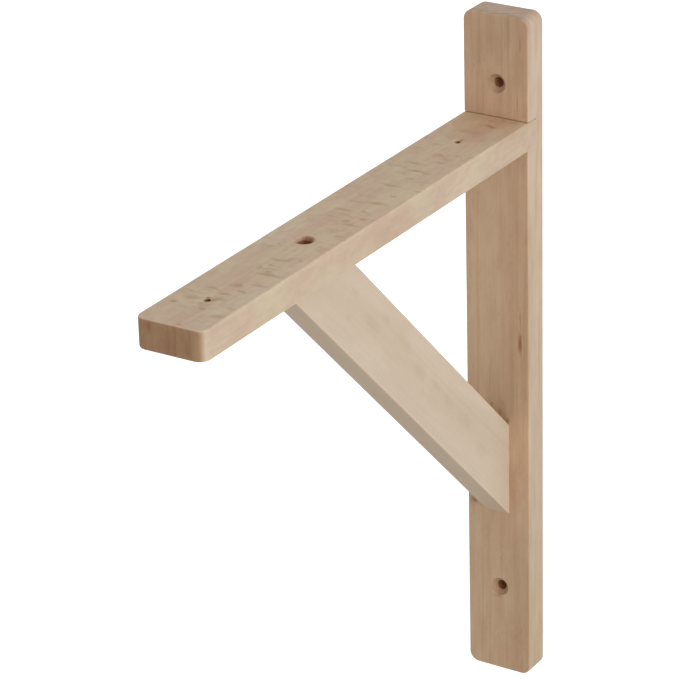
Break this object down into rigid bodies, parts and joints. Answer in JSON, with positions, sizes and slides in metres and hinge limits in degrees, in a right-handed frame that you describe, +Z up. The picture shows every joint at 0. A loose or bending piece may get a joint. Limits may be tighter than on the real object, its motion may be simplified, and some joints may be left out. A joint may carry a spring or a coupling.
{
  "type": "shelf bracket",
  "caption": "Wooden shelf bracket: an upright batten for the wall, a horizontal arm let into it, and a diagonal brace between them.",
  "frame": {"origin": "on the upright's back face, where it lies on the wall, at mid-width and level with the arm's top face", "axes": "+Z up along the upright, +Y into the wall, so the arm reaches out along -Y; X across the bracket"},
  "size_m": [0.034, 0.28, 0.34],
  "materials": {
    "upright_beech": "planed and sanded, unfinished, straight streaks along the batten",
    "arm_beech": "planed and sanded, unfinished, with short dark flecks across its top",
    "brace_beech": "planed and sanded, unfinished, paler and plainer than the other two battens"
  },
  "bodies": {
    "root": {"upright": "upright_beech", "arm": "arm_beech", "brace": "brace_beech"}
  },
  "joints": []
}
